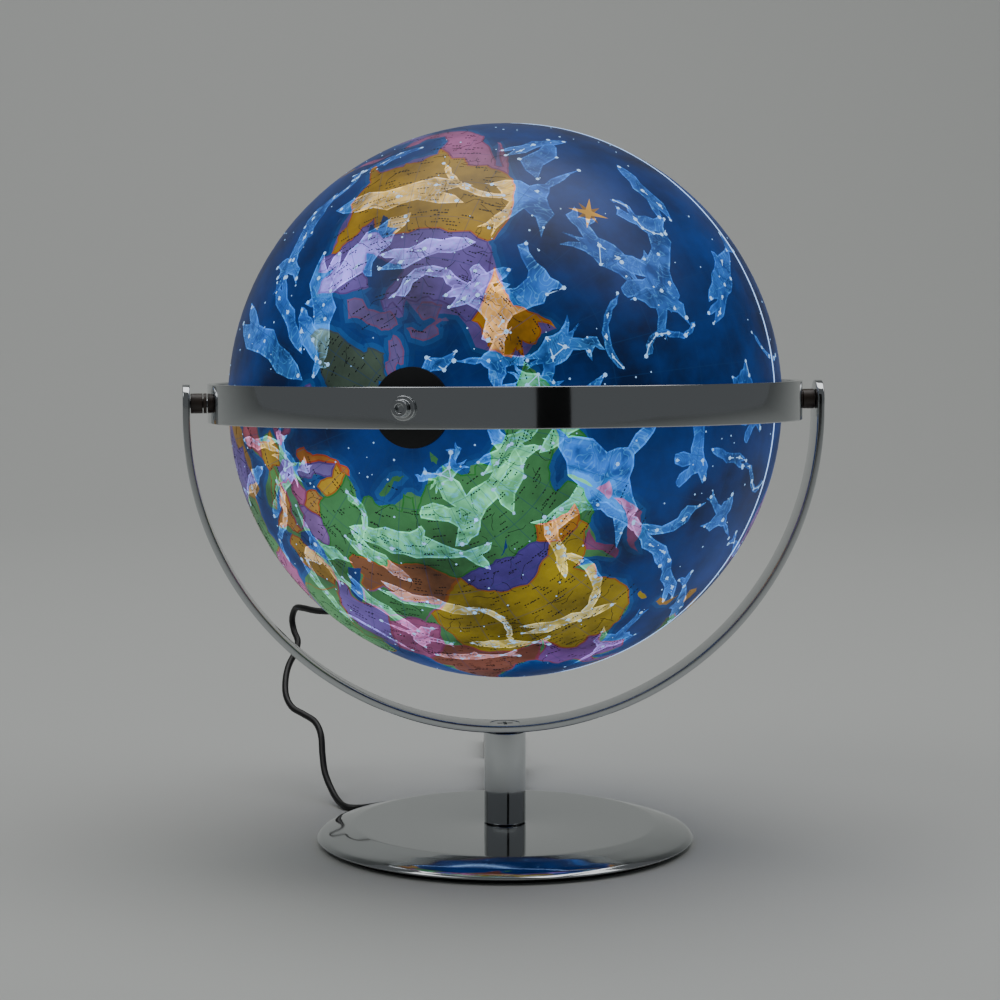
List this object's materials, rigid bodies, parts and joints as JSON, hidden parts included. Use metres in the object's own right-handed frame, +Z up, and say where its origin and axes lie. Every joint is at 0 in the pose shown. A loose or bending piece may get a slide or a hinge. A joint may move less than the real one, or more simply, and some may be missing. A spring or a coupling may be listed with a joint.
{
  "type": "desktop globe on gimbal stand",
  "caption": "Lit desktop globe spinning in a flat ring that tilts between the ends of a half-round bow, on a post with a round base and a supply cord.",
  "frame": {"origin": "centre of the base's underside, on the table", "axes": "+Z up, X along the ring's tilt axis, -Y towards the viewer; the north pole points to the front left"},
  "size_m": [0.29, 0.3827, 0.3278],
  "materials": {
    "chrome": "polished chrome plate",
    "steel": "zinc plated",
    "cast_iron": "blackened casting",
    "foam": "closed-cell foam sheet",
    "nylon": "turned brown nylon",
    "map_plastic": "printed map, satin varnish",
    "film": "printed film",
    "clear_plastic": "frosted, light passes through",
    "black_plastic": "fine spark-eroded texture",
    "white_plastic": "moulded",
    "circuit_board": "solder mask",
    "cord_rubber": "satin black jacket",
    "contact_steel": "nickel plated"
  },
  "bodies": {
    "stand": {"base_pad": "foam", "base_weight": "cast_iron", "base_cover": "chrome", "post_bolt_washer": "steel", "post_bolt": "steel", "post_tube": "chrome", "post_bottom_plug": "steel", "post_top_plug": "steel", "support_bow": "chrome", "bow_screw": "chrome", "left_pivot_screw": "chrome", "left_pivot_spacer": "nylon", "left_pivot_washer": "nylon", "left_pivot_nut": "steel", "right_pivot_screw": "chrome", "right_pivot_spacer": "nylon", "right_pivot_washer": "nylon", "right_pivot_nut": "steel", "cord_free": "cord_rubber", "cord_hank": "cord_rubber", "hank_tie": "black_plastic", "cord_to_switch": "cord_rubber", "switch_lower_shell": "black_plastic", "switch_upper_shell": "black_plastic", "cord_to_plug": "cord_rubber", "plug_overmould": "black_plastic", "plug_shell": "contact_steel", "plug_tongue": "white_plastic"},
    "ring": {"gimbal_ring": "chrome", "north_pole_screw": "chrome", "north_pole_nut": "steel", "south_hollow_stud": "steel", "south_inner_nut": "steel", "south_outer_nut": "chrome", "cord_strain_relief": "cord_rubber", "lamp_stem": "white_plastic", "lamp_holder": "white_plastic", "led_board": "circuit_board", "led_diffuser": "clear_plastic", "lamp_lead": "cord_rubber", "cord_in_relief": "cord_rubber"},
    "globe": {"north_hemisphere": "map_plastic", "south_hemisphere": "map_plastic", "north_star_film": "film", "south_star_film": "film", "equator_band": "clear_plastic", "north_pole_cap": "black_plastic", "north_bush": "black_plastic", "south_pole_cap": "black_plastic", "south_bush": "black_plastic"},
    "rocker": {"switch_rocker": "white_plastic"}
  },
  "joints": [
    {"name": "ring_tilt", "type": "hinge", "parent": "stand", "child": "ring", "pos_m": [0, 0, 0.203], "axis": [1, 0, 0], "range_deg": [-75, 90]},
    {"name": "globe_spin", "type": "hinge", "parent": "ring", "child": "globe", "pos_m": [0, 0, 0.203], "axis": [-0.3987, -0.9151, 0.0592], "continuous": true},
    {"name": "rocker_tip", "type": "hinge", "parent": "stand", "child": "rocker", "pos_m": [0.01574, 0.21046, 0.008], "axis": [0.9954, -0.0958, 0], "range_deg": [-16, 0]}
  ]
}
